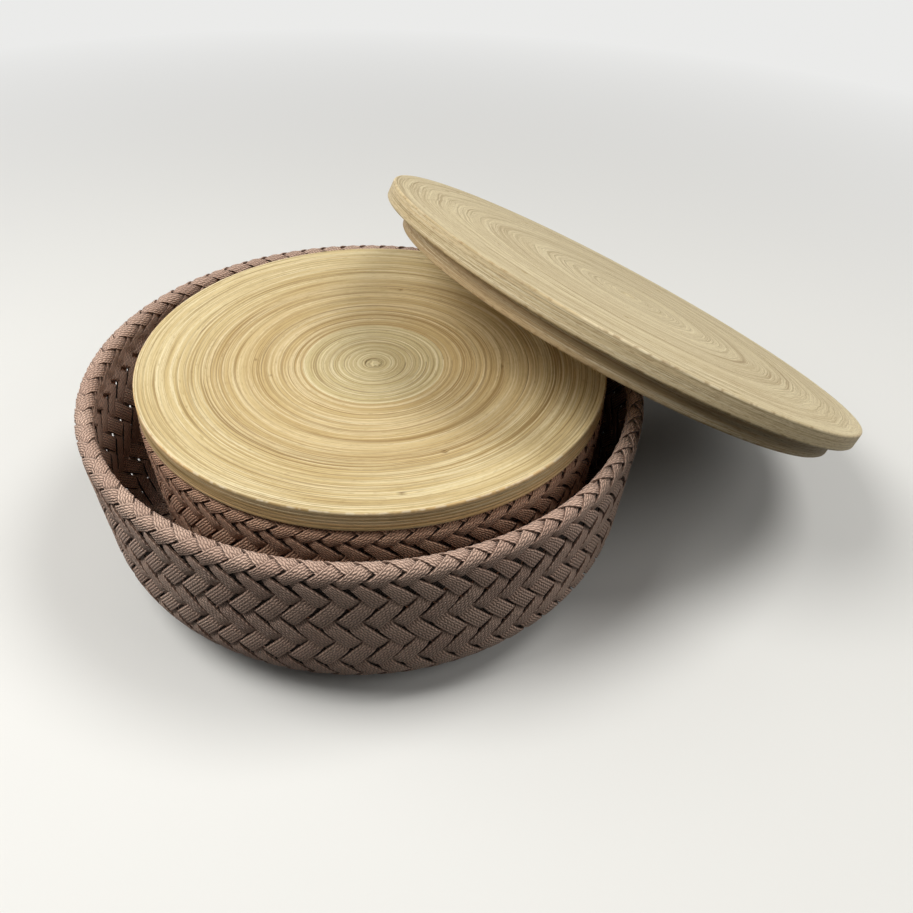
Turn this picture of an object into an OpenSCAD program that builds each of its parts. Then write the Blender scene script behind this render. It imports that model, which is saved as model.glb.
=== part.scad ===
// Nested pair of round plaited baskets with coiled bamboo lids.
// The small basket stands in the large one with its lid on, and the large lid leans on the large rim.
// Origin: middle of the large basket's underside. X to the right, Y away, Z up. Millimetres.

/* [Large basket] */
// Radius of the circle that the large border is centred on
large_rim_r = 126; // [112:1:140]
// Height of the large basket, from its underside to the top of its border
large_height = 88; // [80:1:110]

/* [Small basket] */
// Mean gap between the small border and the inside of the large border
nest_gap = 13.5; // [9:0.5:24]
// Height of the small basket, from its underside to the top of its border
small_height = 82; // [74:1:100]
// How far the small basket stands from the middle of the large one
nest_shift = 4.3; // [0:0.1:6]
// Direction of that shift, from X towards Y, in degrees
nest_shift_turn = 13; // [-180:1:180]

/* [Plaiting] */
// Thickness of one braided tape
tape_t = 1.3; // [0.8:0.1:2]
// Thickness of the plaited base and wall
sheet_t = 3; // [2:0.1:4]
// Lean of the walls from upright, in degrees
wall_lean = 4.6; // [0:0.1:8]
// Outside rounding between base and wall
corner_r = 35; // [20:1:36]

/* [Border] */
// Radius of the rolled border
border_r = 4.1; // [3.4:0.1:5]
// Radius of the cord that the border is rolled over
rim_core_r = 1.6; // [1:0.1:2.2]
// Clearance of that cord in the border
rim_core_gap = 0.1; // [0.05:0.05:0.3]
// How far the tape ends are turned down inside the wall
hem_depth = 24; // [12:1:30]
// Clearance between the turned-down ends and the border
hem_gap = 0.3; // [0.2:0.1:1]

/* [Lids] */
// Thickness of the small lid's upper disc
small_lid_t = 9.7; // [7:0.1:12]
// Thickness of the large lid's upper disc
large_lid_t = 8.1; // [7:0.1:12]
// How far a lid's edge stays inside the border's outer edge
lid_inset = 0.5; // [0:0.1:2]
// Rounding of a lid's upper and lower edges
lid_edge_r = 1; // [0.5:0.1:3]
// Depth of the plug under a lid
plug_t = 8.5; // [5:0.1:12]
// Clearance round the plug in the border
plug_gap = 3.9; // [1:0.1:6]
// Rounding of the plug's lower edge
plug_edge_r = 1.2; // [0.4:0.1:3]
// How far the large plug sits off its lid's middle, down the slope
large_plug_down = -3; // [-6:0.5:6]
// How far the large plug sits off its lid's middle, across the slope
large_plug_side = -5; // [-6:0.5:6]
// Radius of the core that a lid's strips are wound on
coil_core_r = 4; // [2:0.5:8]
// Width of the paler inner coil round that core
inner_coil_w = 28; // [16:1:40]
// Clearance between the border and the lid that lies on it
seat_gap = 0.3; // [0.2:0.1:1]

/* [Leaning lid] */
// Tilt of the large lid from level, in degrees
lean_tilt = 29; // [20:0.1:35]
// Direction in which it slopes down, from X towards Y, in degrees
lean_turn = 26; // [0:0.1:60]
// How far the lid's middle lies down the slope from the rim
lean_down = 0.2; // [-10:0.1:10]
// How far the lid's middle lies to the side of the rim contact
lean_side = -24.6; // [-40:0.1:40]
// Clearance between the plug and what it leans on
lean_gap = 0.3; // [0.2:0.1:1]

/* [Hidden] */
$fn = 128;

// Colours
large_tape_tone = "#b48d88";
small_tape_tone = "#9a7068";
cord_tone = "#c9b79a";
pale_bamboo_tone = "#dcc196";
tan_bamboo_tone = "#c79c62";

// The small basket follows from the large one
small_rim_r = large_rim_r - 2 * border_r - nest_gap;
nest_x = nest_shift * cos(nest_shift_turn);
nest_y = nest_shift * sin(nest_shift_turn);
nest_z = sheet_t;

// How far a cut runs past the face that it opens
cut_over = 1;

// The turned-down ends are two tapes that cross
hem_t = 2 * tape_t;

// Heights and radii of a basket with its underside at zero
function outer_r(rim_r) = rim_r + border_r;
function rim_z(height) = height - border_r;
function wall_top(height) = height - 2 * border_r;
function wall_r(rim_r, height, z, inset) =
    outer_r(rim_r) - inset / cos(wall_lean) - (wall_top(height) - z) * tan(wall_lean);

// Middle of the rounding between base and wall, which is also the flat base's radius
function corner_x(rim_r, height) =
    wall_r(rim_r, height, corner_r, 0) - corner_r / cos(wall_lean);

// Lid radii and the height of the seated small lid
function lid_r(rim_r) = outer_r(rim_r) - lid_inset;
function plug_r(rim_r) = rim_r - border_r - plug_gap;
inner_coil_r = coil_core_r + inner_coil_w;
small_seat_z = nest_z + small_height + seat_gap;
small_top_z = small_seat_z + small_lid_t;

// The leaning lid's underside is a plane that clears both the large border and the small lid's edge
lean_normal = [
    sin(lean_tilt) * cos(lean_turn),
    sin(lean_tilt) * sin(lean_turn),
    cos(lean_tilt)
];
slope_dir = [
    cos(lean_tilt) * cos(lean_turn),
    cos(lean_tilt) * sin(lean_turn),
    -sin(lean_tilt)
];
side_dir = [-sin(lean_turn), cos(lean_turn), 0];
rim_reach = large_rim_r * sin(lean_tilt) + rim_z(large_height) * cos(lean_tilt) + border_r;
small_edge_r = lid_r(small_rim_r) - lid_edge_r;
small_edge_z = small_top_z - lid_edge_r;
small_reach = nest_x * lean_normal[0] + nest_y * lean_normal[1]
    + small_edge_r * sin(lean_tilt) + small_edge_z * cos(lean_tilt) + lid_edge_r;
lean_plane = max(rim_reach, small_reach) + lean_gap;
rim_contact = [
    (large_rim_r + border_r * sin(lean_tilt)) * cos(lean_turn),
    (large_rim_r + border_r * sin(lean_tilt)) * sin(lean_turn),
    rim_z(large_height) + border_r * cos(lean_tilt)
];
lean_middle = rim_contact
    + lean_normal * (lean_plane - rim_contact * lean_normal)
    + slope_dir * lean_down
    + side_dir * lean_side;

// Places of the small basket and of the two lids, each lid standing on its plug
module in_large_basket() {
    translate([nest_x, nest_y, nest_z]) children();
}

module on_small_basket() {
    translate([nest_x, nest_y, small_seat_z - plug_t]) children();
}

module leaning() {
    translate(lean_middle) rotate([0, lean_tilt, lean_turn]) children();
}

// Half section of a whole basket, moved in from its outer face by inset
module basket_section(rim_r, height, inset, top_z) {
    middle = [corner_x(rim_r, height), corner_r];
    round_r = corner_r - inset;
    polygon([
        [0, inset],
        [middle[0], inset],
        middle,
        middle + round_r * [cos(wall_lean), -sin(wall_lean)],
        [wall_r(rim_r, height, top_z, inset), top_z],
        [0, top_z]
    ]);
    translate(middle) intersection() {
        circle(round_r);
        translate([0, -round_r]) square(round_r);
    }
}

// Flat plaited base
module basket_base(rim_r, height) {
    cylinder(r = corner_x(rim_r, height), h = sheet_t);
}

// Plaited wall with the rounding that brings it down to the base
module basket_wall(rim_r, height) {
    rotate_extrude() difference() {
        basket_section(rim_r, height, 0, wall_top(height));
        basket_section(rim_r, height, sheet_t, wall_top(height) + cut_over);
        translate([0, -cut_over]) square([corner_x(rim_r, height), corner_r]);
    }
}

// Rolled border: a round roll with a foot that sits on the wall, hollow for its cord
module basket_border(rim_r, height) {
    foot_w = sheet_t / cos(wall_lean);
    rotate_extrude() difference() {
        union() {
            translate([rim_r, rim_z(height)]) circle(border_r);
            translate([outer_r(rim_r) - foot_w, wall_top(height)]) square([foot_w, border_r]);
        }
        translate([rim_r, rim_z(height)]) circle(rim_core_r + rim_core_gap);
    }
}

// Cord hoop inside the border
module basket_rim_core(rim_r, height) {
    rotate_extrude() translate([rim_r, rim_z(height)]) circle(rim_core_r);
}

// Tape ends turned down against the inside of the wall
module basket_tucked_ends(rim_r, height) {
    top_z = wall_top(height) - hem_gap;
    low_z = top_z - hem_depth;
    rotate_extrude() polygon([
        [wall_r(rim_r, height, low_z, sheet_t), low_z],
        [wall_r(rim_r, height, top_z, sheet_t), top_z],
        [wall_r(rim_r, height, top_z, sheet_t + hem_t), top_z],
        [wall_r(rim_r, height, low_z, sheet_t + hem_t), low_z]
    ]);
}

// Ring with its outer edges rounded below and above
module edged_ring(r_in, r_out, h, low_edge, top_edge) {
    rotate_extrude() {
        translate([r_in, low_edge]) square([r_out - r_in, h - low_edge - top_edge]);
        translate([r_in, 0]) square([r_out - low_edge - r_in, h / 2]);
        translate([r_in, h / 2]) square([r_out - top_edge - r_in, h / 2]);
        translate([r_out - low_edge, low_edge]) circle(low_edge);
        if (top_edge > 0) translate([r_out - top_edge, h - top_edge]) circle(top_edge);
    }
}

// Core that the strips of a lid's upper disc are wound on
module lid_core(disc_t) {
    translate([0, 0, plug_t]) cylinder(r = coil_core_r, h = disc_t);
}

// First strips, wound round the core
module lid_inner_coil(disc_t) {
    translate([0, 0, plug_t]) rotate_extrude()
        translate([coil_core_r, 0]) square([inner_coil_w, disc_t]);
}

// Last strips, turned round at the edge
module lid_outer_coil(rim_r, disc_t) {
    translate([0, 0, plug_t]) edged_ring(inner_coil_r, lid_r(rim_r), disc_t, lid_edge_r, lid_edge_r);
}

// Coiled plug under the disc
module lid_plug(rim_r) {
    edged_ring(0, plug_r(rim_r), plug_t, plug_edge_r, 0);
}

module large_base() {
    color(large_tape_tone) basket_base(large_rim_r, large_height);
}

module large_wall() {
    color(large_tape_tone) basket_wall(large_rim_r, large_height);
}

module large_border() {
    color(large_tape_tone) basket_border(large_rim_r, large_height);
}

module large_rim_core() {
    color(cord_tone) basket_rim_core(large_rim_r, large_height);
}

module large_tucked_ends() {
    color(large_tape_tone) basket_tucked_ends(large_rim_r, large_height);
}

module small_base() {
    color(small_tape_tone) in_large_basket() basket_base(small_rim_r, small_height);
}

module small_wall() {
    color(small_tape_tone) in_large_basket() basket_wall(small_rim_r, small_height);
}

module small_border() {
    color(small_tape_tone) in_large_basket() basket_border(small_rim_r, small_height);
}

module small_rim_core() {
    color(cord_tone) in_large_basket() basket_rim_core(small_rim_r, small_height);
}

module small_tucked_ends() {
    color(small_tape_tone) in_large_basket() basket_tucked_ends(small_rim_r, small_height);
}

module small_lid_core() {
    color(pale_bamboo_tone) on_small_basket() lid_core(small_lid_t);
}

module small_lid_inner_coil() {
    color(pale_bamboo_tone) on_small_basket() lid_inner_coil(small_lid_t);
}

module small_lid_outer_coil() {
    color(tan_bamboo_tone) on_small_basket() lid_outer_coil(small_rim_r, small_lid_t);
}

module small_lid_plug() {
    color(tan_bamboo_tone) on_small_basket() lid_plug(small_rim_r);
}

module large_lid_core() {
    color(pale_bamboo_tone) leaning() lid_core(large_lid_t);
}

module large_lid_inner_coil() {
    color(pale_bamboo_tone) leaning() lid_inner_coil(large_lid_t);
}

module large_lid_outer_coil() {
    color(tan_bamboo_tone) leaning() lid_outer_coil(large_rim_r, large_lid_t);
}

module large_lid_plug() {
    color(tan_bamboo_tone) leaning()
        translate([large_plug_down, large_plug_side, 0]) lid_plug(large_rim_r);
}

large_base();
large_wall();
large_border();
large_rim_core();
large_tucked_ends();
small_base();
small_wall();
small_border();
small_rim_core();
small_tucked_ends();
small_lid_core();
small_lid_inner_coil();
small_lid_outer_coil();
small_lid_plug();
large_lid_core();
large_lid_inner_coil();
large_lid_outer_coil();
large_lid_plug();
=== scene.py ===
import math
import bmesh
import bpy
import numpy as np
from mathutils import Matrix, Vector


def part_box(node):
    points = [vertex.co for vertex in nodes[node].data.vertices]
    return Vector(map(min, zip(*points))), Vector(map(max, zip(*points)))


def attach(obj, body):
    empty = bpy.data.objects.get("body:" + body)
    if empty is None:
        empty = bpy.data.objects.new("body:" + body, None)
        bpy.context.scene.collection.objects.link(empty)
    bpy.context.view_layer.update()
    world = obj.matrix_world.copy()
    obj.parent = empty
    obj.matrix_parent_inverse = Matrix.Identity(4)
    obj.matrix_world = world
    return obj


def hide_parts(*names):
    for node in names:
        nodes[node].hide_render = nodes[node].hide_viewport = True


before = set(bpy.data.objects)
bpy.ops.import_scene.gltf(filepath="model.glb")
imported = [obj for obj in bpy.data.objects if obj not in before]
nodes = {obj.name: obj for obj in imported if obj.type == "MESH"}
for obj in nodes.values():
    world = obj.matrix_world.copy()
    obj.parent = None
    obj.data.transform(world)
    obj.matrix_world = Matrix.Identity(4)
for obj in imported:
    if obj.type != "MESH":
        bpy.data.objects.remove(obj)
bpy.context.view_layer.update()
print("frame loaded,", len(nodes), "nodes")

scene = bpy.context.scene
scene.view_settings.view_transform = "Standard"


# nodes and materials

def feed(net, socket, value):
    if isinstance(value, bpy.types.NodeSocket):
        net.links.new(value, socket)
    else:
        socket.default_value = value


def calc(net, operation, *values):
    node = net.nodes.new("ShaderNodeMath")
    node.operation = operation
    for socket, value in zip(node.inputs, values):
        feed(net, socket, value)
    return node.outputs[0]


def stretch(net, value, low, high, toLow=0.0, toHigh=1.0):
    node = net.nodes.new("ShaderNodeMapRange")
    for socket, number in zip(node.inputs, (value, low, high, toLow, toHigh)):
        feed(net, socket, number)
    return node.outputs[0]


def mixTone(net, factor, first, second, blend="MIX"):
    node = net.nodes.new("ShaderNodeMix")
    node.data_type = "RGBA"
    node.blend_type = blend
    feed(net, node.inputs[0], factor)
    feed(net, node.inputs[6], first)
    feed(net, node.inputs[7], second)
    return node.outputs[2]


def split(net, vector):
    node = net.nodes.new("ShaderNodeSeparateXYZ")
    feed(net, node.inputs[0], vector)
    return node.outputs


def join(net, x, y, z):
    node = net.nodes.new("ShaderNodeCombineXYZ")
    for socket, value in zip(node.inputs, (x, y, z)):
        feed(net, socket, value)
    return node.outputs[0]


def noise(net, vector, scale, detail=2.0, roughness=0.5):
    node = net.nodes.new("ShaderNodeTexNoise")
    feed(net, node.inputs["Vector"], vector)
    node.inputs["Scale"].default_value = scale
    node.inputs["Detail"].default_value = detail
    node.inputs["Roughness"].default_value = roughness
    return node.outputs["Fac"]


def stored(net, name):
    node = net.nodes.new("ShaderNodeAttribute")
    node.attribute_name = name
    return node.outputs["Vector"]


def newGroup(name, inputs, outputs):
    net = bpy.data.node_groups.new(name, "ShaderNodeTree")
    for label, kind in inputs:
        net.interface.new_socket(label, in_out="INPUT", socket_type=kind)
    for label, kind in outputs:
        net.interface.new_socket(label, in_out="OUTPUT", socket_type=kind)
    return net, net.nodes.new("NodeGroupInput").outputs, net.nodes.new("NodeGroupOutput").inputs


def useGroup(net, group, **values):
    node = net.nodes.new("ShaderNodeGroup")
    node.node_tree = group
    for label, value in values.items():
        feed(net, node.inputs[label], value)
    return node.outputs


def newMaterial(name, **values):
    material = bpy.data.materials.new(name)
    material.use_nodes = True
    net = material.node_tree
    shader = net.nodes["Principled BSDF"]
    for label, value in values.items():
        shader.inputs[label.replace("_", " ")].default_value = value
    return material, net, shader


def addBump(net, shader, height, strength, distance):
    node = net.nodes.new("ShaderNodeBump")
    node.inputs["Strength"].default_value = strength
    node.inputs["Distance"].default_value = distance
    feed(net, node.inputs["Height"], height)
    net.links.new(node.outputs[0], shader.inputs["Normal"])


def braidGroup():
    # columns of stitches set like bricks, that slant left and right by turns, and masks for painted shade in
    # the hollows between stitches and along the tape's edges
    net, given, out = newGroup(
        "braidRelief",
        [("Lay", "NodeSocketVector"), ("Columns", "NodeSocketFloat"), ("Stitch", "NodeSocketFloat")],
        [("Height", "NodeSocketFloat"), ("CreviceShade", "NodeSocketFloat"), ("EdgeShade", "NodeSocketFloat")],
    )
    lay = split(net, given["Lay"])
    place = calc(net, "MULTIPLY", calc(net, "MULTIPLY_ADD", lay[1], 0.5, 0.5), given["Columns"])
    column = calc(net, "FLOOR", place)
    across = calc(net, "SUBTRACT", calc(net, "SUBTRACT", place, column), 0.5)
    side = calc(net, "MULTIPLY_ADD", calc(net, "FLOORED_MODULO", column, 2.0), 2.0, -1.0)
    slant = calc(net, "MULTIPLY", side, calc(net, "MULTIPLY_ADD", across, 0.55, 0.25))
    along = calc(net, "ADD", calc(net, "DIVIDE", lay[0], given["Stitch"]), slant)
    along = calc(net, "SUBTRACT", calc(net, "FRACT", along), 0.5)
    wide = calc(net, "MULTIPLY", calc(net, "POWER", calc(net, "ABSOLUTE", across), 2.0), 3.7)
    long = calc(net, "MULTIPLY", calc(net, "POWER", calc(net, "ABSOLUTE", along), 2.0), 3.5)
    height = calc(net, "MAXIMUM", calc(net, "SUBTRACT", 1.0, calc(net, "ADD", wide, long)), 0.0)
    feed(net, out["Height"], height)
    feed(net, out["CreviceShade"], stretch(net, height, 0.0, 0.56, 1.0, 0.0))
    feed(net, out["EdgeShade"], stretch(net, calc(net, "ABSOLUTE", lay[1]), 0.92, 0.99))
    return net


def stripGroup():
    # bamboo fibre along the coil: broad bands, streaks, lines and where they fade, pores, breaks in the
    # painted edge highlight, and dashes
    labels = ("Band", "Streak", "Line", "Pore", "Fade", "HighlightBreak", "Dash")
    net, given, out = newGroup(
        "stripFibre",
        [("Coil", "NodeSocketVector"), ("Spot", "NodeSocketVector"), ("Wander", "NodeSocketFloat")],
        [(label, "NodeSocketFloat") for label in labels],
    )
    spot = split(net, given["Spot"])
    stray = calc(net, "SUBTRACT", noise(net, join(net, spot[0], spot[1], 0.0), 26.0, 2.0), 0.5)
    stray = calc(net, "MULTIPLY", calc(net, "MULTIPLY", stray, given["Wander"]), spot[2])
    turn = calc(net, "ADD", split(net, given["Coil"])[0], stray)

    def drawn(label, around, across, detail, low, high, shift=0.0):
        along = [calc(net, "MULTIPLY_ADD", spot[axis], around, shift) for axis in (0, 1)]
        grain = noise(net, join(net, *along, calc(net, "MULTIPLY", turn, across)), 1.0, detail, 0.6)
        feed(net, out[label], stretch(net, grain, low, high))

    drawn("Band", 9.0, 0.45, 2.0, 0.38, 0.62)
    drawn("Streak", 15.0, 2.5, 3.0, 0.46, 0.62)
    drawn("Line", 9.0, 3.4, 2.0, 0.5, 0.58, 20.0)
    drawn("Pore", 230.0, 2.6, 1.0, 0.62, 0.74)
    drawn("Fade", 11.0, 0.9, 1.0, 0.4, 0.6, 40.0)
    drawn("HighlightBreak", 170.0, 0.3, 2.0, 0.5, 0.58, 60.0)
    drawn("Dash", 210.0, 5.0, 2.0, 0.52, 0.64, 80.0)
    return net


def handledGroup():
    # faint patches where a piece has been handled or has gathered dust
    net, given, out = newGroup(
        "handledPatches",
        [("Size", "NodeSocketFloat")],
        [("Patch", "NodeSocketFloat")],
    )
    place = net.nodes.new("ShaderNodeNewGeometry").outputs["Position"]
    scaled = net.nodes.new("ShaderNodeVectorMath")
    scaled.operation = "SCALE"
    feed(net, scaled.inputs[0], place)
    feed(net, scaled.inputs["Scale"], given["Size"])
    feed(net, out["Patch"], stretch(net, noise(net, scaled.outputs[0], 1.0, 3.0), 0.3, 0.7))
    return net


braidRelief = braidGroup()
stripFibre = stripGroup()
handledPatches = handledGroup()


def tapeMaterial(name, look):
    material, net, shader = newMaterial(
        name, Roughness=0.78, Sheen_Weight=0.08, Specular_IOR_Level=0.25,
    )
    lay = stored(net, "lay")
    tint = split(net, lay)[2]  # 0 to 1 from tape to tape, below 0 where a tape lies under, for painted shade
    relief = useGroup(net, braidRelief, Lay=lay, Columns=look["columns"], Stitch=look["stitch"])
    patch = useGroup(net, handledPatches, Size=look["patchSize"])["Patch"]
    tone = mixTone(net, tint, look["deep"], look["pale"])
    tone = mixTone(net, calc(net, "MULTIPLY", patch, look["fading"]), tone, look["faded"])
    # painted shade: darker in the hollows between the stitches
    tone = mixTone(net, calc(net, "MULTIPLY", relief["CreviceShade"], look["hollows"]), tone, look["hollow"])
    # painted shade: darker along each tape's edges, where the slits between tapes fall in shade
    tone = mixTone(net, calc(net, "MULTIPLY", relief["EdgeShade"], look["edges"]), tone, look["hollow"])
    # painted shade on a tape that lies under, where it shows through the slits
    tone = mixTone(net, stretch(net, tint, 0.0, -1.0), tone, look["buriedShade"])
    net.links.new(tone, shader.inputs["Base Color"])
    addBump(net, shader, relief["Height"], 0.8, look["relief"])
    return material


def bambooMaterial(name, look):
    material, net, shader = newMaterial(
        name, Coat_Weight=0.02, Coat_Roughness=0.4, Specular_IOR_Level=0.12,
    )
    coil = stored(net, "coil")
    spot = stored(net, "spot")
    turn, shade, mark = split(net, coil)
    face = split(net, spot)[2]
    fibre = useGroup(net, stripFibre, Coil=coil, Spot=spot, Wander=look["wander"])
    patch = useGroup(net, handledPatches, Size=look["patchSize"])["Patch"]
    gap = calc(net, "MULTIPLY", calc(net, "MAXIMUM", mark, 0.0), fibre["Fade"])
    # a negative mark paints a broken highlight along the rounded edge of the lid
    highlightMark = calc(net, "MAXIMUM", calc(net, "MULTIPLY", mark, -1.0), 0.0)
    edgeHighlight = calc(net, "MULTIPLY", highlightMark, fibre["HighlightBreak"])
    tone = mixTone(net, shade, look["deep"], look["pale"])
    tone = mixTone(net, stretch(net, face, 0.0, 1.0, look["warmth"], 0.0), tone, look["side"])
    clumped = calc(net, "MULTIPLY", fibre["Line"], calc(net, "MULTIPLY_ADD", fibre["Band"], 0.85, 0.15))
    dashed = calc(net, "MULTIPLY", fibre["Dash"], calc(net, "MULTIPLY_ADD", face, -0.4, 1.0))
    tone = mixTone(net, calc(net, "MULTIPLY", fibre["Band"], look["bands"]), tone, look["deep"])
    tone = mixTone(net, calc(net, "MULTIPLY", fibre["Streak"], look["streaks"]), tone, look["light"])
    tone = mixTone(net, calc(net, "MULTIPLY", clumped, look["lines"]), tone, look["dark"])
    tone = mixTone(net, calc(net, "MULTIPLY", dashed, look["dashes"]), tone, look["dash"])
    tone = mixTone(net, calc(net, "MULTIPLY", patch, look["patches"]), tone, look["deep"])
    tanned = stretch(net, turn, *look["tanTurns"], look["tan"], 0.0)
    tone = mixTone(net, tanned, tone, look["tanTone"], "MULTIPLY")
    tone = mixTone(net, calc(net, "MULTIPLY", fibre["Pore"], look["pores"]), tone, look["dark"])
    tone = mixTone(net, calc(net, "MULTIPLY", gap, look["gaps"]), tone, look["gap"])
    tone = mixTone(net, calc(net, "MULTIPLY", edgeHighlight, look["edgeHighlightStrength"]), tone, look["edgeHighlight"])
    net.links.new(tone, shader.inputs["Base Color"])
    net.links.new(stretch(net, fibre["Streak"], 0.0, 1.0, 0.5, 0.68), shader.inputs["Roughness"])
    addBump(net, shader, fibre["Streak"], 0.15, 0.0003)
    return material


def addPiece(name, points, faces, marks, material, body, slot, *covers):
    mesh = bpy.data.meshes.new(name)
    mesh.from_pydata(points.tolist(), [], faces)
    for label, values in marks.items():
        layer = mesh.attributes.new(label, "FLOAT_VECTOR", "POINT")
        layer.data.foreach_set("vector", values.astype(np.float32).ravel())
    work = bmesh.new()
    work.from_mesh(mesh)
    bmesh.ops.remove_doubles(work, verts=work.verts, dist=1e-6)
    bmesh.ops.dissolve_degenerate(work, edges=work.edges, dist=1e-7)
    bmesh.ops.recalc_face_normals(work, faces=work.faces)
    work.to_mesh(mesh)
    work.free()
    mesh.shade_smooth()
    mesh.materials.append(material)
    piece = bpy.data.objects.new(name, mesh)
    scene.collection.objects.link(piece)
    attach(piece, body)
    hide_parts(*covers)
    print("piece", name, len(mesh.polygons), "faces")


# plaited baskets

def basketSize(name):
    low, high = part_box(name + "_border")
    baseLow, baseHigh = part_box(name + "_base")
    outerR = (high.x - low.x) / 2
    borderR = (high.z - low.z) / 2
    return {
        "middle": ((low.x + high.x) / 2, (low.y + high.y) / 2),
        "outerR": outerR,
        "borderR": borderR,
        "rimR": outerR - borderR,
        "rimZ": low.z + borderR,
        "wallTop": low.z,
        "hemLow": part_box(name + "_tucked_ends")[0].z,
        "baseR": (baseHigh.x - baseLow.x) / 2,
        "baseZ": baseLow.z,
        "sheet": baseHigh.z - baseLow.z,
    }


def swing(rows):
    # 1 over two tapes and -1 under the next two, with a steep way down
    return np.clip(2.6 * np.cos(np.pi / 2 * (rows - 0.5)) - 0.25, -1, 1)


def evenLine(line, step):
    run = np.concatenate([[0], np.cumsum(np.hypot(*np.diff(line, axis=0).T))])
    even = np.linspace(0, run[-1], int(run[-1] / step) + 1)
    return np.stack([np.interp(even, run, line[:, 0]), np.interp(even, run, line[:, 1])], 1)


def plaitPath(size, plait):
    # the plait's middle layer in section: up inside, over the border, down outside, under to the base
    lean = math.radians(plait["lean"])
    half = plait["swing"] + plait["tapeT"] / 2
    roll = size["borderR"] - plait["rollSwing"] * plait["swing"] - plait["tapeT"] / 2
    bend = plait["cornerR"] - half

    def wallR(z, inset):
        return size["outerR"] - inset / math.cos(lean) - (size["wallTop"] - z) * math.tan(lean)

    hemZ = np.linspace(size["hemLow"], size["wallTop"] - plait["joinGap"], 60)
    over = np.radians(np.linspace(plait["rollFrom"], 0, 80))
    cornerZ = size["baseZ"] + plait["cornerR"]
    wallZ = np.linspace(size["rimZ"] - plait["joinGap"], cornerZ - bend * math.sin(lean), 120)
    under = np.linspace(-lean, -math.pi / 2, 120)
    line = np.concatenate([
        np.stack([wallR(hemZ, size["sheet"] + half), hemZ], 1),
        np.stack([size["rimR"] + roll * np.cos(over), size["rimZ"] + roll * np.sin(over)], 1),
        np.stack([wallR(wallZ, half), wallZ], 1),
        np.stack([size["baseR"] + bend * np.cos(under), cornerZ + bend * np.sin(under)], 1),
        [[size["baseR"] - plait["underLap"], size["baseZ"] + half]],
    ])
    line = evenLine(line, plait["pathStep"])
    for _ in range(plait["smoothing"]):
        line[1:-1] = (line[:-2] + 2 * line[1:-1] + line[2:]) / 4
    line = evenLine(line, plait["pathStep"])
    way = np.gradient(line, axis=0)
    way /= np.linalg.norm(way, axis=1)[:, None]
    run = np.arange(len(line)) * np.hypot(*(line[1] - line[0]))
    r, z = line.T
    low = np.clip((cornerZ - z) / plait["cornerR"], 0, 1)
    fromRim = np.hypot(r - size["rimR"], z - size["rimZ"])
    fold = np.clip((plait["foldReach"] - fromRim) / (plait["foldReach"] - size["borderR"]), 0, 1)
    slope = plait["slope"] + (plait["cornerSlope"] - plait["slope"]) * low ** 1.5
    slope = np.radians(slope + (plait["rollSlope"] - plait["slope"]) * fold)
    turn = np.concatenate([[0], np.cumsum(np.diff(run) / (r * np.tan(slope))[:-1])])

    def stationAt(angle):  # the station nearest to this angle on the border
        spotR = roll * math.cos(angle)
        spotZ = roll * math.sin(angle)
        return np.hypot(r - size["rimR"] - spotR, z - size["rimZ"] - spotZ).argmin()

    turn -= turn[stationAt(math.radians(plait["foldEnd"]))]
    near = np.clip(2.5 - 1.5 * fromRim / size["borderR"], 0, 1)
    crest = stationAt(plait["crest"])
    return {
        "run": run, "r": r, "z": z, "outR": -way[:, 1], "outZ": way[:, 0], "slope": slope, "turn": turn,
        "rows": plait["foldRow"] + plait["tapes"] * turn / math.pi, "onRoll": near, "crestTurn": turn[crest],
    }


def tapeSection(plait):
    # across, -1 to 1, and height over the tape's middle
    across = np.array([-1, -0.96, -0.84, 0, 0.84, 0.96, 1, 0.84, 0, -0.84])
    height = np.array([-0.1, 0.75, 0.95, 1, 0.95, 0.75, -0.1, -0.85, -1, -0.85]) * plait["tapeT"] / 2
    return across, height


def ribbonFaces(tapes, stations, sides):
    first = np.arange(tapes)[:, None, None] * stations * sides
    here = first + np.arange(stations - 1)[None, :, None] * sides
    side = np.arange(sides)[None, None, :]
    after = (side + 1) % sides
    quads = np.stack([here + side, here + after, here + sides + after, here + sides + side], -1)
    faces = quads.reshape(-1, 4).tolist()
    for tape in range(tapes):
        start = tape * stations * sides
        faces.append(list(range(start, start + sides)))
        faces.append(list(range(start + (stations - 1) * sides, start + stations * sides)))
    return faces


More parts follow.
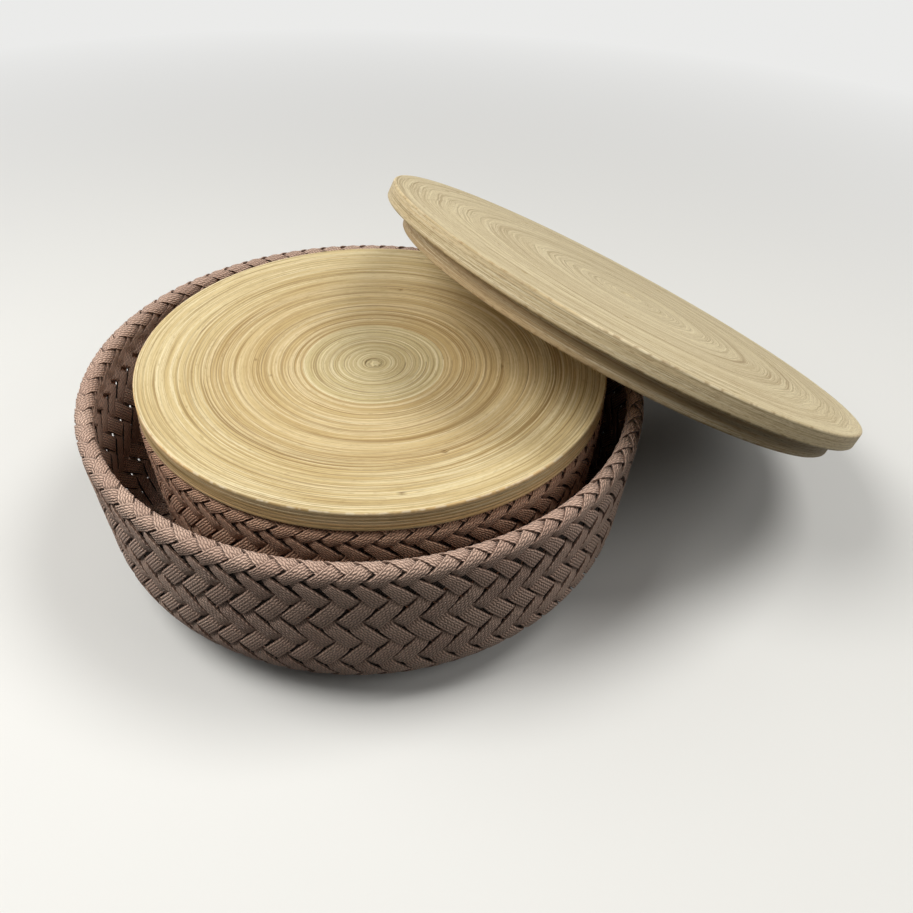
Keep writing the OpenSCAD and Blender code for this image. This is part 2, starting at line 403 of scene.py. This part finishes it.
def wallTapes(size, plait, path, hand, seed):
    # hand 1 folds outward to the right over the border, hand -1 to the left
    rng = np.random.default_rng(seed)
    tuck = 0.5 if hand > 0 else 2.5  # each end stops under a crossing tape
    firstRow = tuck + 4 * math.ceil((path["rows"][0] + 0.3 - tuck) / 4)
    run = [np.interp(firstRow, path["rows"], path["run"])]
    while run[-1] < path["run"][-1] - plait["step"] / 2:
        fine = np.interp(run[-1], path["run"], path["onRoll"])
        run.append(run[-1] + (plait["rollStep"] if fine > 0.5 else plait["step"]))
    run = np.minimum(np.array(run), path["run"][-1])

    def at(key):
        return np.interp(run, path["run"], path[key])

    slope, turn, r = at("slope"), at("turn"), at("r")
    over = swing(at("rows") + 1 + hand)
    level = over * plait["swing"] * (1 - (1 - plait["rollSwing"]) * at("onRoll"))
    spacing = 2 * math.pi * r / plait["tapes"] * np.sin(slope)
    width = np.minimum(plait["tapeW"], plait["packing"] * spacing)
    below = (at("z") - size["wallTop"] + plait["neckDown"]) / plait["neckLength"]
    slack = plait["neck"] * (1 if hand > 0 else 0.2) * np.exp(-below ** 2) * (at("outR") > 0)
    along = np.concatenate([[0], np.cumsum(np.diff(run) / np.sin(slope)[:-1])])
    across, height = tapeSection(plait)
    outside = np.clip(at("outR") * 3 - 1, 0, 1)
    # painted shade: the tape that lies under goes near black where it shows through the slits
    buriedShade = (outside * np.clip(-over, 0, 1))[:, None] * (height > -0.2 * plait["tapeT"])
    count = plait["tapes"]
    tightest = math.radians(plait["tightAngle"])
    slit = math.radians(plait["slitAngle"])
    for _ in range(20):  # where this slit lies before the plait is tightened
        lag = slit - tightest
        slit = math.radians(plait["slitAngle"]) + plait["tight"] * math.sin(lag)
        slit += plait["tightTwice"] / 2 * math.sin(2 * lag)
    start = slit + math.pi / count - path["crestTurn"]
    start += math.pi / count if hand < 0 else 0
    waver = rng.normal(0, plait["waver"], count) / size["rimR"]
    begin = start + 2 * math.pi * np.arange(count) / count + waver
    wide = 1 + rng.normal(0, plait["widthSpread"], count)
    crest = begin + hand * path["crestTurn"] - math.radians(plait["looseAngle"])
    loose = np.clip(0.4 + 0.6 * np.cos(crest), 0, 1)  # the slits under the border are wider on this side
    tint = np.clip(rng.normal(0.5, plait["tintSpread"], count), 0, 1)
    width = width[None] * wide[:, None] * (1 - slack[None] * loose[:, None])
    x = across[None, None, :] * width[:, :, None] / 2
    where = run[None, :, None] + x * np.cos(slope)[None, :, None]
    aside = x * np.sin(slope)[None, :, None] / r[None, :, None]
    angle = begin[:, None, None] + hand * (turn[None, :, None] - aside)
    drift = angle - tightest  # the plait is tighter in front
    angle = angle - plait["tight"] * np.sin(drift) - plait["tightTwice"] / 2 * np.sin(2 * drift)
    off = level[None, :, None] + height[None, None, :]
    radius = np.interp(where, path["run"], path["r"]) + np.interp(where, path["run"], path["outR"]) * off
    points = np.stack([
        size["middle"][0] + radius * np.cos(angle),
        size["middle"][1] + radius * np.sin(angle),
        np.interp(where, path["run"], path["z"]) + np.interp(where, path["run"], path["outZ"]) * off,
    ], -1)
    shape = points.shape[:3]
    lay = np.stack([
        np.broadcast_to(along[None, :, None] * 1000, shape) + rng.uniform(0, 9, count)[:, None, None],
        np.broadcast_to(across[None, None, :], shape),
        np.broadcast_to(tint[:, None, None] - 2 * buriedShade[None], shape),
    ], -1)
    return points.reshape(-1, 3), ribbonFaces(*shape), {"lay": lay.reshape(-1, 3)}


def baseTapes(size, plait, seed):
    # two straight sets crossing at right angles, cut to the round base
    rng = np.random.default_rng(seed)
    across, height = tapeSection(plait)
    pitch = plait["basePitch"]
    reach = size["baseR"] - plait["baseInset"]
    level = size["baseZ"] + plait["swing"] + plait["tapeT"] / 2
    points, faces, lays, count = [], [], [], 0
    rows = int((reach - plait["baseMargin"]) / pitch)
    for crossing in (0, 1):
        for row in range(-rows, rows):
            middle = (row + 0.5) * pitch
            half = math.sqrt(reach ** 2 - (abs(middle) + plait["tapeW"] / 2) ** 2)
            run = np.linspace(-half, half, max(4, int(half * 2 / plait["baseStep"])))
            cell = run / pitch - 0.5
            lift = swing(cell - row) if crossing == 0 else swing(row - cell + 2)
            side = middle + across * plait["tapeW"] / 2
            grid = np.zeros((1, len(run), len(across), 3))
            grid[0, :, :, crossing] = run[:, None]
            grid[0, :, :, 1 - crossing] = side[None, :]
            grid[0, :, :, 2] = level + lift[:, None] * plait["swing"] + height[None, :]
            grid[..., 0] += size["middle"][0]
            grid[..., 1] += size["middle"][1]
            lay = np.zeros(grid.shape)
            lay[..., 0] = run[None, :, None] * 1000
            lay[..., 1] = across
            lay[..., 2] = np.clip(rng.normal(0.5, plait["tintSpread"]), 0, 1)
            for face in ribbonFaces(*grid.shape[:3]):
                faces.append([corner + count for corner in face])
            count += grid[..., 0].size
            points.append(grid.reshape(-1, 3))
            lays.append(lay.reshape(-1, 3))
    return np.concatenate(points), faces, {"lay": np.concatenate(lays)}


largeTape = {
    "columns": 6.0, "stitch": 2.3, "relief": 0.0007,  # the braid, with stitches in millimetres
    "patchSize": 17.0, "fading": 0.35, "hollows": 0.74, "edges": 0.8,
    "deep": (0.56, 0.365, 0.285, 1), "pale": (0.74, 0.515, 0.405, 1), "faded": (0.76, 0.575, 0.455, 1),
    "hollow": (0.13, 0.075, 0.052, 1), "buriedShade": (0.03, 0.018, 0.012, 1),
}
largePlait = {
    "tapes": 69, "tapeW": 0.0077, "tapeT": 0.0012, "swing": 0.0009,
    "lean": 4.6, "cornerR": 0.035, "underLap": 0.004,  # the wall, as in the frame
    "slope": 48.4, "cornerSlope": 58, "packing": 0.94,  # degrees from level
    "rollFrom": 215, "rollSlope": 31, "rollSwing": 0.7,  # over the border
    "foldEnd": 63, "foldReach": 0.0088, "foldRow": 3.5,
    "crest": 0.87, "slitAngle": -90.8,  # the slits, in radians up the border and degrees round it
    "neck": 0.26, "neckDown": 0.0015, "neckLength": 0.0045, "looseAngle": -145,
    "tight": 0.03, "tightTwice": 0.05, "tightAngle": -95,
    "waver": 0.0002, "widthSpread": 0.012, "tintSpread": 0.24,
    "basePitch": 0.0079, "baseInset": 0.0008, "baseMargin": 0.004, "baseStep": 0.0024,
    "step": 0.0014, "rollStep": 0.0007, "pathStep": 0.0002, "joinGap": 0.003, "smoothing": 24,
}
largeSize = basketSize("large")
largePath = plaitPath(largeSize, largePlait)
largeFabric = tapeMaterial("largeTape", largeTape)
addPiece("large_tapes_right", *wallTapes(largeSize, largePlait, largePath, hand=1, seed=11), largeFabric,
         "large_basket", "large_tape", "large_wall", "large_tucked_ends")
addPiece("large_tapes_left", *wallTapes(largeSize, largePlait, largePath, hand=-1, seed=12), largeFabric,
         "large_basket", "large_tape", "large_border")
addPiece("large_base_plait", *baseTapes(largeSize, largePlait, seed=13), largeFabric,
         "large_basket", "large_tape", "large_base")
print("large basket plaited")

smallTape = dict(
    largeTape,
    deep=(0.52, 0.29, 0.19, 1), pale=(0.70, 0.43, 0.29, 1), faded=(0.70, 0.46, 0.32, 1),
    hollow=(0.11, 0.05, 0.03, 1), buriedShade=(0.06, 0.03, 0.02, 1),
)
smallPlait = dict(
    largePlait,
    tapes=64, tapeW=0.0072, slitAngle=-85.0, tight=0.0, tightTwice=0.0,
    waver=0.00016, step=0.0017, rollStep=0.0008,
)
smallSize = basketSize("small")
smallPath = plaitPath(smallSize, smallPlait)
smallFabric = tapeMaterial("smallTape", smallTape)
addPiece("small_tapes_right", *wallTapes(smallSize, smallPlait, smallPath, hand=1, seed=21), smallFabric,
         "small_basket", "small_tape", "small_wall", "small_tucked_ends")
addPiece("small_tapes_left", *wallTapes(smallSize, smallPlait, smallPath, hand=-1, seed=22), smallFabric,
         "small_basket", "small_tape", "small_border")
addPiece("small_base_plait", *baseTapes(smallSize, smallPlait, seed=23), smallFabric,
         "small_basket", "small_tape", "small_base")
print("small basket plaited")

rimCord = {"patchSize": 240.0, "deep": (0.40, 0.30, 0.19, 1), "pale": (0.62, 0.50, 0.35, 1)}
cordFabric, cordNet, cordShader = newMaterial("rimCord", Roughness=0.85)
cordPatch = useGroup(cordNet, handledPatches, Size=rimCord["patchSize"])["Patch"]
cordTone = mixTone(cordNet, cordPatch, rimCord["deep"], rimCord["pale"])
cordNet.links.new(cordTone, cordShader.inputs["Base Color"])
for cordName in ("large_rim_core", "small_rim_core"):
    nodes[cordName].data.materials.clear()
    nodes[cordName].data.materials.append(cordFabric)
print("rim cords covered")


# coiled bamboo lids

def lidPose(name, tilt, turn):
    low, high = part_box(name + "_core")
    spin = Matrix.Rotation(math.radians(turn), 3, "Z")
    lean = Matrix.Rotation(math.radians(tilt), 3, "Y")
    return {"middle": np.array((low + high) / 2), "axes": np.array(spin @ lean)}


def lidReach(node, pose):
    # a node's radius, its lowest and highest level along the lid's axis, and the pose of its own middle
    spots = np.array([corner.co for corner in nodes[node].data.vertices]) - pose["middle"]
    local = spots @ pose["axes"]
    low, high = local.min(0), local.max(0)
    own = dict(pose, middle=pose["middle"] + pose["axes"][:, :2] @ ((low + high) / 2)[:2])
    return (high[0] - low[0]) / 2, low[2], high[2], own


def coilFace(coil, rIn, rOut, level, up, rng):
    # one long strip wound from rIn to rOut, in lengths joined end to end
    cols = coil["columns"]
    turns = max(2, round((rOut - rIn) / coil["strip"]))
    angle = np.arange(cols) / cols
    wind = np.arange(turns + 1)[:, None] + angle[None, :]

    def bound(number):  # inner edge of strip number, at every column
        raw = np.full(cols, float(min(number, 1) * turns))
        if 0 < number <= turns:
            raw = np.clip(number - 1 + angle, 0, turns)
        ripple = np.sin(2.3 * raw) - raw / turns * math.sin(2.3 * turns)  # thick and thin strips by turns
        return rIn + (raw + 0.2 * ripple) * (rOut - rIn) / turns

    run = 2 * math.pi * (rIn * wind + (rOut - rIn) / turns * wind ** 2 / 2)
    count = 400  # more lengths than any lid needs
    ends = np.cumsum(rng.uniform(0.5, 1.5, count) * coil["length"])
    which = np.searchsorted(ends, run)
    tones = np.clip(rng.normal(0.55, coil["spread"], count + 2), 0, 1)[which]
    lifts = rng.normal(0, coil["uneven"], count + 2)[which]
    joint = np.zeros(wind.shape)
    joint[:, 1:] = which[:, 1:] != which[:, :-1]
    taper = sum(np.roll(joint, step, axis=1) * (1 - step / 6) for step in range(6))
    gaps = np.clip(rng.exponential(0.4, turns + 2), 0.04, 1)
    rows, coils = [], []
    for number in range(turns + 1):
        inner, outer = bound(number), bound(number + 1)
        for part, sink in ((0.0, 1.0), (0.16, 0.15), (0.5, 0.0), (0.84, 0.15)):
            r = inner + (outer - inner) * part
            edge = part == 0.0
            drop = coil["groove"] * sink * gaps[number] if edge else coil["groove"] * sink * 0.3
            z = -drop + (0 if edge else 1) * (lifts[number] - joint[number] * coil["notch"])
            rows.append((r, z))
            gap = np.maximum(gaps[number], 1.3 * taper[number]) if edge else joint[number] * 0.7
            coils.append(np.stack([r / coil["strip"], tones[number], gap], 1))
    rows.append((bound(turns + 1), np.full(cols, 0.0)))
    coils.append(np.stack([np.full(cols, rOut / coil["strip"]), tones[turns], np.zeros(cols)], 1))
    fade = [np.clip(np.minimum(r - rIn, rOut - r) / 0.001, 0, 1) for r, _ in rows]
    r = np.array([row[0] for row in rows])
    z = level + np.array([row[1] for row in rows]) * np.array(fade) * up
    grid = np.arange(r.size).reshape(r.shape)
    shifted = np.concatenate([grid[4:, 0], np.full(4, grid[-1, 0])])  # the strip carries on one turn out
    shifted[0] = grid[0, 0]
    after = np.concatenate([grid[:, 1:], shifted[:, None]], 1)
    quads = np.stack([grid[:-1], grid[1:], after[1:], after[:-1]], -1).reshape(-1, 4)
    spots = np.stack([r * np.cos(2 * math.pi * angle), r * np.sin(2 * math.pi * angle), z], -1)
    return spots.reshape(-1, 3), quads.tolist(), np.concatenate(coils), grid[0], grid[-1]


def addRings(spots, faces, coils, loop, rings, cols):
    # plain rings that carry on from a loop of corners
    angle = 2 * math.pi * np.arange(cols) / cols
    for r, z, across, tone, gap in rings:
        ring = np.arange(cols) + len(spots)
        corners = np.stack([r * np.cos(angle), r * np.sin(angle), np.full(cols, z)], 1)
        spots = np.concatenate([spots, corners])
        coils = np.concatenate([coils, np.tile([across, tone, gap], (cols, 1))])
        quads = np.stack([loop, ring, np.roll(ring, -1), np.roll(loop, -1)], 1)
        faces = faces + quads.tolist()
        loop = ring
    return spots, faces, coils, loop


def edgeRings(coil, rOut, top, bottom, layers, rng):
    # rounded edge, layered side and rounded lower edge, from the face downward or upward
    way = 1 if bottom < top else -1
    edge = coil["edge"]
    start = rOut / coil["strip"]
    rings = []
    for step in (30, 60, 90):
        lean = math.radians(step)
        r = rOut - edge + edge * math.sin(lean)
        z = top - way * edge * (1 - math.cos(lean))
        # painted highlight: the rings round the upper edge carry a negative mark, strongest on the upper
        # part of the curve
        edgeHighlight = -0.9 if step < 90 else -0.3
        rings.append((r, z, start, 0.7, edgeHighlight))
    depth = abs(top - bottom) - 2 * edge
    for layer in range(layers):
        tone = float(np.clip(rng.normal(0.85, 0.3 * coil["sideLine"]), 0, 1))
        for part in (0.0, 0.2, 0.8):
            z = top - way * (edge + depth * (layer + part) / layers)
            line = part == 0.0 and layer > 0
            sunk = coil["sideLine"] if line else 0.0
            rings.append((rOut - 0.00015 * sunk, z, start + layer + part, tone, sunk))
    for step in (90, 60, 30, 0):
        lean = math.radians(step)
        r = rOut - edge + edge * math.sin(lean)
        z = bottom + way * edge * (1 - math.cos(lean))
        rings.append((r, z, start + layers, 0.5, 0.0))
    return rings


def placed(spots, coil, pose):
    # the coil's middle can lie off the lid's, while the edge stays round it
    ease = np.clip(1 - (spots[:, :2] ** 2).sum(1) / coil["reach"] ** 2, 0, 1)
    aside = np.column_stack([np.outer(ease, coil["offset"]), np.zeros(len(spots))])
    return (spots + aside) @ pose["axes"].T + pose["middle"]


def coilPiece(name, coil, pose, rIn, rOut, top, bottom, edged, material, body, slot, cover, seed, up=1):
    rng = np.random.default_rng(seed)
    cols = coil["columns"]
    faceOut = rOut - coil["edge"] if edged else rOut
    spots, faces, coils, inner, outer = coilFace(coil, rIn, faceOut, top, up, rng)
    flat = len(spots)
    if edged:
        rings = edgeRings(coil, rOut, top, bottom, coil["layers"], rng)
    else:
        rings = [(rOut, bottom, rOut / coil["strip"], 0.5, 0.0)]
    rings.append((rIn, bottom, rIn / coil["strip"], 0.5, 0.0))
    spots, faces, coils, last = addRings(spots, faces, coils, outer, rings, cols)
    quads = np.stack([last, inner, np.roll(inner, -1), np.roll(last, -1)], 1)
    faces = faces + quads.tolist()
    spot = np.column_stack([spots[:, :2], np.arange(len(spots)) < flat])  # 1 on the face, 0 on the sides
    marks = {"coil": coils, "spot": spot}
    addPiece(name, placed(spots, coil, pose), faces, marks, material, body, slot, cover)


def corePiece(name, coil, pose, radius, top, bottom, material, body, cover):
    # a knot of short ends in the middle, in a shallow well
    cols = 72
    angle = 2 * math.pi * np.arange(cols) / cols
    star = radius * (0.56 + 0.07 * np.cos(6 * angle) + 0.05 * np.cos(3 * angle + 1))
    outline = [  # radius, level and gap of each ring, from the underside round to the middle
        (radius, bottom, 0.0),
        (radius, top - 0.0004, 0.3),
        (star * 1.22, top - 0.0006, 0.6),
        (star * 1.02, top - 0.0005, 0.5),
        (star * 0.94, top - 0.00012, 0.1),
        (star * 0.6, top, 0.0),
        (star * 0.3, top - 0.0001, 0.1),
    ]
    shift = radius * 0.16
    spots, coils = [], []
    for number, (r, z, gap) in enumerate(outline):
        aside = shift if number > 1 else 0
        spots.append(np.stack([aside + r * np.cos(angle), r * np.sin(angle), np.full(cols, z)], 1))
        coils.append(np.tile([number * 0.7, 0.9, gap], (cols, 1)))
    spots, coils = np.concatenate(spots), np.concatenate(coils)
    faces = []
    for number in range(len(outline) - 1):
        low = np.arange(cols) + number * cols
        high = low + cols
        faces += np.stack([low, high, np.roll(high, -1), np.roll(low, -1)], 1).tolist()
    faces.append(list(range(cols)))
    faces.append(list(range(len(spots) - cols, len(spots))))
    marks = {"coil": coils, "spot": np.column_stack([spots[:, :2], np.ones(len(spots))])}
    addPiece(name, placed(spots, coil, pose), faces, marks, material, body, "pale_bamboo", cover)


def coiledLid(name, coil, pose, inner, outer, under, seed):
    coreR, bottom, top, pose = lidReach(name + "_core", pose)
    innerR = lidReach(name + "_inner_coil", pose)[0]
    outerR = lidReach(name + "_outer_coil", pose)[0]
    plugR, plugLow, plugTop, plugPose = lidReach(name + "_plug", pose)
    coil = dict(coil, reach=outerR)
    corePiece(name + "_knot", coil, pose, coreR, top, bottom, inner, name, name + "_core")
    coilPiece(name + "_inner_strip", coil, pose, coreR, innerR, top, bottom, False, inner, name,
              "pale_bamboo", name + "_inner_coil", seed)
    coilPiece(name + "_outer_strip", coil, pose, innerR, outerR, top, bottom, True, outer, name,
              "tan_bamboo", name + "_outer_coil", seed + 1)
    plug = dict(coil, layers=coil["plugLayers"], offset=(0.0, 0.0))
    coilPiece(name + "_plug_strip", plug, plugPose, coil["eyeR"], plugR, plugLow, plugTop, True, under, name,
              "tan_bamboo", name + "_plug", seed + 2, -1)
    print(name, "wound")


smallLidOuter = {
    "bands": 0.6, "streaks": 0.6, "lines": 0.9, "pores": 0.35, "dashes": 0.4, "gaps": 0.85, "edgeHighlightStrength": 0.45,
    "wander": 0.6, "patchSize": 11.0, "patches": 0.15, "warmth": 0.8,
    "deep": (0.53, 0.393, 0.183, 1), "pale": (0.70, 0.575, 0.32, 1),
    "dark": (0.32, 0.215, 0.09, 1), "light": (0.87, 0.785, 0.54, 1),
    "gap": (0.17, 0.10, 0.038, 1), "dash": (0.33, 0.22, 0.10, 1),
    # painted highlight colour for the rounded edge
    "edgeHighlight": (0.96, 0.89, 0.70, 1), "side": (0.93, 0.61, 0.285, 1),
    "tan": 1.0, "tanTurns": (33.0, 37.0), "tanTone": (0.92, 0.885, 0.85, 1),
}
smallLidInner = dict(
    smallLidOuter,
    deep=(0.51, 0.41, 0.21, 1), pale=(0.69, 0.595, 0.345, 1), tan=0.0,
)
smallLidPlug = dict(
    smallLidOuter,
    deep=(0.36, 0.25, 0.12, 1), pale=(0.50, 0.37, 0.20, 1), side=(0.52, 0.34, 0.17, 1),
    edgeHighlightStrength=0.2, tan=0.0,
)
smallCoil = {
    "strip": 0.0022, "columns": 240, "length": 1.1, "spread": 0.33, "offset": (-0.0004, -0.0076),
    "groove": 0.00022, "notch": 0.0005, "uneven": 0.00004,
    "edge": 0.0009, "layers": 5, "sideLine": 0.8, "plugLayers": 4, "eyeR": 0.002,
}
coiledLid("small_lid", smallCoil, lidPose("small_lid", tilt=0, turn=0),
          bambooMaterial("smallLidPale", smallLidInner),
          bambooMaterial("smallLidTan", smallLidOuter),
          bambooMaterial("smallLidPlug", smallLidPlug), seed=31)

largeLidOuter = dict(
    smallLidOuter,
    dashes=0.55, gaps=0.4, edgeHighlightStrength=0.12, wander=2.6, warmth=0.7, tan=0.0,
    deep=(0.54, 0.435, 0.25, 1), pale=(0.735, 0.63, 0.395, 1),
    dark=(0.345, 0.25, 0.125, 1), light=(0.85, 0.765, 0.55, 1),
    gap=(0.24, 0.16, 0.08, 1), dash=(0.30, 0.18, 0.08, 1), side=(0.68, 0.53, 0.31, 1),
)
largeLidInner = dict(largeLidOuter, pale=(0.725, 0.625, 0.395, 1))
largeLidPlug = dict(
    largeLidOuter,
    deep=(0.36, 0.25, 0.13, 1), pale=(0.56, 0.42, 0.225, 1), side=(0.56, 0.41, 0.235, 1), dashes=0.6,
)
largeCoil = dict(
    smallCoil,
    strip=0.0024, columns=256, spread=0.25, offset=(0.0, 0.0), groove=0.00012, sideLine=0.1,
)
coiledLid("large_lid", largeCoil, lidPose("large_lid", tilt=29, turn=26),
          bambooMaterial("largeLidPale", largeLidInner),
          bambooMaterial("largeLidTan", largeLidOuter),
          bambooMaterial("largeLidPlug", largeLidPlug), seed=41)


# floor, light and camera

stageLook = {
    "floorSize": 8.0, "seen": (0.80, 0.80, 0.785, 1), "bounce": (0.05, 0.05, 0.05, 1),
    "backdrop": (0.83, 0.83, 0.82, 1), "fadeFrom": 0.3, "fadeTo": 0.95,  # the floor runs into the backdrop
    "ambient": (0.08, 0.0792, 0.0776, 1), "none": (0, 0, 0, 1),
}
floorMesh = bpy.data.meshes.new("floor")
half = stageLook["floorSize"] / 2
corners = [(-half, -half, 0), (half, -half, 0), (half, half, 0), (-half, half, 0)]
floorMesh.from_pydata(corners, [], [(0, 1, 2, 3)])
floor = bpy.data.objects.new("floor", floorMesh)
scene.collection.objects.link(floor)
floorMaterial, floorNet, floorShader = newMaterial("floor", Roughness=0.9, Specular_IOR_Level=0.0)


def seenDirectly(net):  # 1 for rays from the camera, straight or by a mirror or through glass
    ray = net.nodes.new("ShaderNodeLightPath").outputs
    direct = calc(net, "ADD", ray["Is Camera Ray"], ray["Is Glossy Ray"])
    direct = calc(net, "ADD", direct, ray["Is Transmission Ray"])
    return calc(net, "MINIMUM", direct, 1.0)


shown = seenDirectly(floorNet)
spread = floorNet.nodes.new("ShaderNodeVectorMath")
spread.operation = "LENGTH"
floorNet.links.new(floorNet.nodes.new("ShaderNodeNewGeometry").outputs["Position"], spread.inputs[0])
far = stretch(floorNet, spread.outputs["Value"], stageLook["fadeFrom"], stageLook["fadeTo"])
far = calc(floorNet, "MULTIPLY", far, shown)
floorTone = mixTone(floorNet, shown, stageLook["bounce"], stageLook["seen"])
floorTone = mixTone(floorNet, far, floorTone, stageLook["none"])
floorGlow = mixTone(floorNet, far, stageLook["none"], stageLook["backdrop"])
floorNet.links.new(floorTone, floorShader.inputs["Base Color"])
floorNet.links.new(floorGlow, floorShader.inputs["Emission Color"])
floorShader.inputs["Emission Strength"].default_value = 1.0
floorMesh.materials.append(floorMaterial)

world = bpy.data.worlds.new("studio")
world.use_nodes = True
scene.world = world
worldNet = world.node_tree
worldBack = worldNet.nodes["Background"]
worldTone = mixTone(worldNet, seenDirectly(worldNet), stageLook["ambient"], stageLook["backdrop"])
worldNet.links.new(worldTone, worldBack.inputs["Color"])
worldBack.inputs["Strength"].default_value = 1.0

lampLook = {
    "aim": (0.0, 0.0, 0.08), "tint": (1.0, 0.985, 0.95),
    "overhead": {"place": (-0.42, -0.13, 0.9), "size": 0.5, "power": 5.8},
    "fromLeft": {"place": (-1.0, 0.25, 0.8), "size": 1.0, "power": 4.2},
    "fromRight": {"place": (0.6, 0.0, 1.3), "size": 0.6, "power": 8.0},
    "fromFront": {"place": (0.85, -0.5, 0.8), "size": 0.6, "power": 2.6},
}
for lampName in ("overhead", "fromLeft", "fromRight", "fromFront"):
    look = lampLook[lampName]
    lamp = bpy.data.lights.new(lampName, "AREA")
    lamp.shape = "DISK"
    lamp.size = look["size"]
    lamp.energy = look["power"]
    lamp.color = lampLook["tint"]
    holder = bpy.data.objects.new(lampName, lamp)
    holder.location = look["place"]
    holder.rotation_mode = "QUATERNION"
    toward = Vector(lampLook["aim"]) - Vector(look["place"])
    holder.rotation_quaternion = toward.to_track_quat("-Z", "Y")
    scene.collection.objects.link(holder)
print("floor and lamps placed")

photoCamera = {
    "place": (0.0, -0.3461, 0.3215), "yaw": 0.1281, "pitch": 0.6934, "roll": 0.0416,
    "lens": 34.70, "sensor": 36.0,
}
cameraData = bpy.data.cameras.new("photoCamera")
cameraData.sensor_width = photoCamera["sensor"]
cameraData.lens = photoCamera["lens"]
cameraData.dof.use_dof = False
camera = bpy.data.objects.new("photoCamera", cameraData)
yaw, pitch, tip = photoCamera["yaw"], photoCamera["pitch"], photoCamera["roll"]
ahead = Vector((math.sin(yaw) * math.cos(pitch), math.cos(yaw) * math.cos(pitch), -math.sin(pitch)))
level = Vector((math.cos(yaw), -math.sin(yaw), 0.0))
above = level.cross(ahead)
right = level * math.cos(tip) + above * math.sin(tip)
upward = above * math.cos(tip) - level * math.sin(tip)
camera.matrix_world = Matrix((
    (right.x, upward.x, -ahead.x, photoCamera["place"][0]),
    (right.y, upward.y, -ahead.y, photoCamera["place"][1]),
    (right.z, upward.z, -ahead.z, photoCamera["place"][2]),
    (0, 0, 0, 1),
))
scene.collection.objects.link(camera)
scene.camera = camera
print("stage set")
